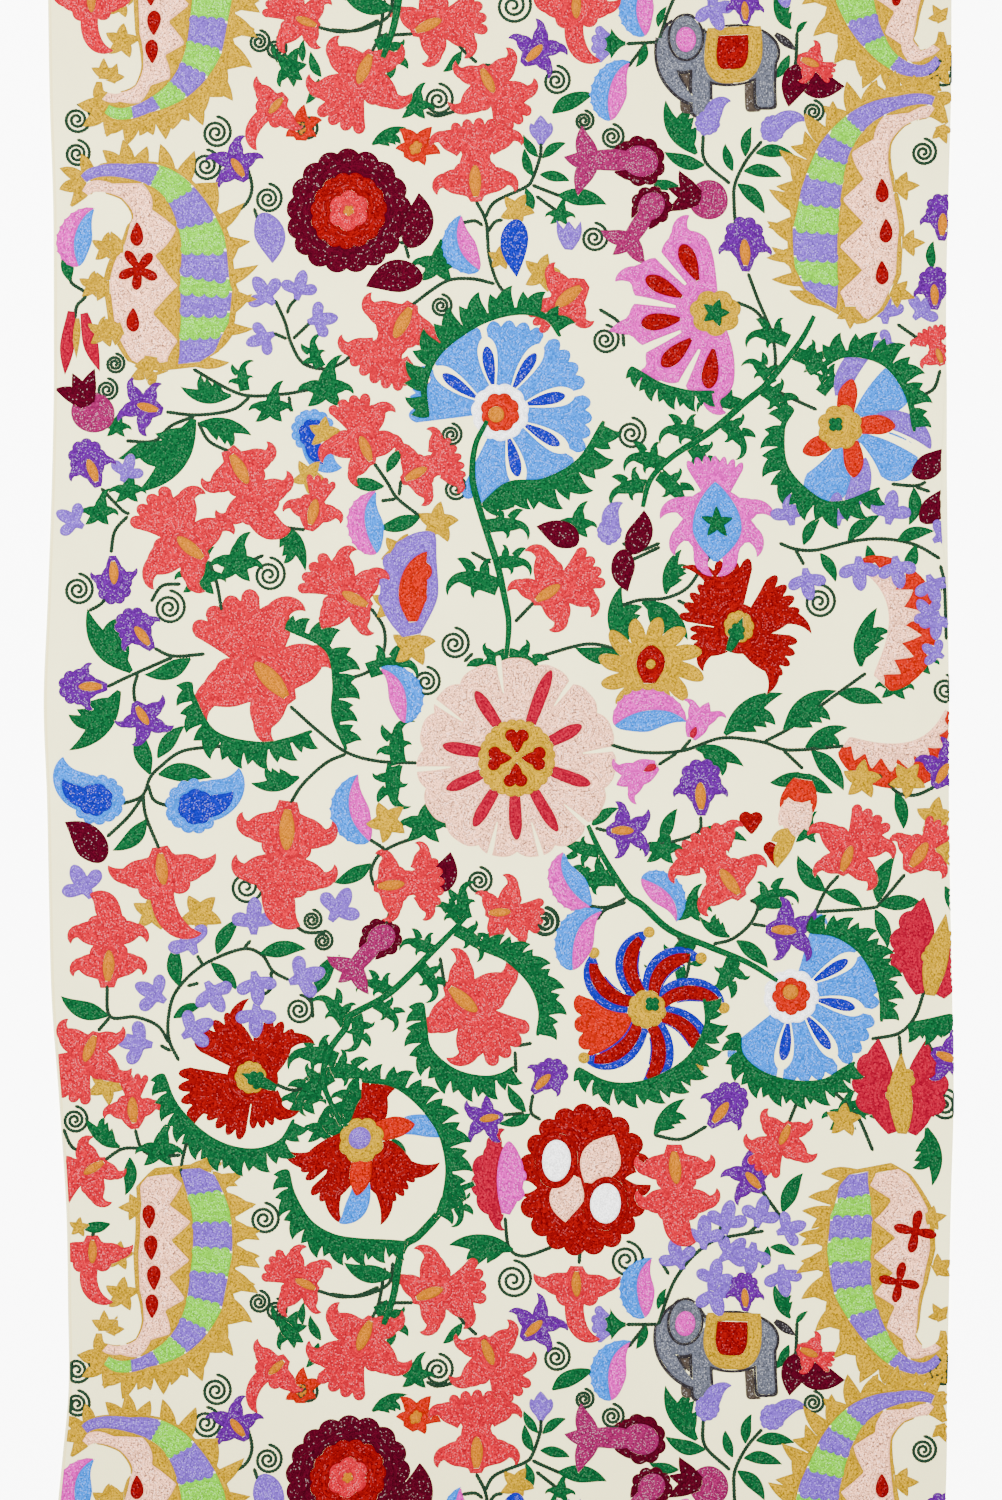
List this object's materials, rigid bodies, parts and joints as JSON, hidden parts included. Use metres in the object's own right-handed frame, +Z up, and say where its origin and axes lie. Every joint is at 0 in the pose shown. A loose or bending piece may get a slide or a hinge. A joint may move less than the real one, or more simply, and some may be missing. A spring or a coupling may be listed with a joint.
{
  "type": "suzani fabric",
  "caption": "Full-width length of cream cotton cloth, embroidered all over with flowers, leaves, paisleys and elephants, lying flat with one long edge turned under.",
  "frame": {"origin": "middle of the cloth's underside, at the height of the surface it lies on", "axes": "+X across the width towards the edge that is turned under, +Y along the length, +Z up from the embroidered face"},
  "size_m": [1.3522, 2.3002, 0.0058],
  "materials": {
    "cream_cotton": "matt plain-woven cotton, warm cream",
    "embroidery_thread": "lustrous chain stitch and moss stitch in many colours"
  },
  "bodies": {
    "root": {"suzani_cloth": "cream_cotton"}
  },
  "joints": []
}
